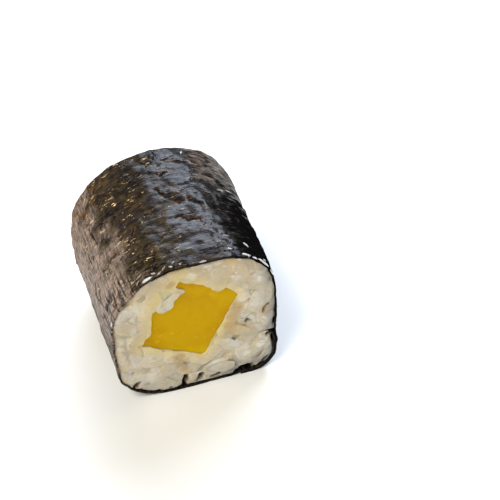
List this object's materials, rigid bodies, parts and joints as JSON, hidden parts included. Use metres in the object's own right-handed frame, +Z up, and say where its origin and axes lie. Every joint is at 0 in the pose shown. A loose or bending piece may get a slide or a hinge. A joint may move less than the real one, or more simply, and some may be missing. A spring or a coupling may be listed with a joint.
{
  "type": "pickled radish maki",
  "caption": "Thin sushi roll piece lying on its side: a bar of yellow pickled radish in pressed rice, wrapped in a lapped sheet of nori, with a cut face at either end.",
  "frame": {"origin": "centre of the underside, on the surface that the piece rests on", "axes": "+Z up, Y along the roll's axis with the shown cut face towards -Y, +X to the right of that face"},
  "size_m": [0.028, 0.0272, 0.0278],
  "materials": {
    "nori": "dark olive-black dried seaweed with fine wrinkles and a moist satin sheen",
    "cooked_rice": "moist, slightly translucent creamy white",
    "pickled_radish": "moist, slightly translucent deep yellow"
  },
  "bodies": {
    "root": {"nori_sheet": "nori", "rice": "cooked_rice", "pickled_radish": "pickled_radish"}
  },
  "joints": []
}
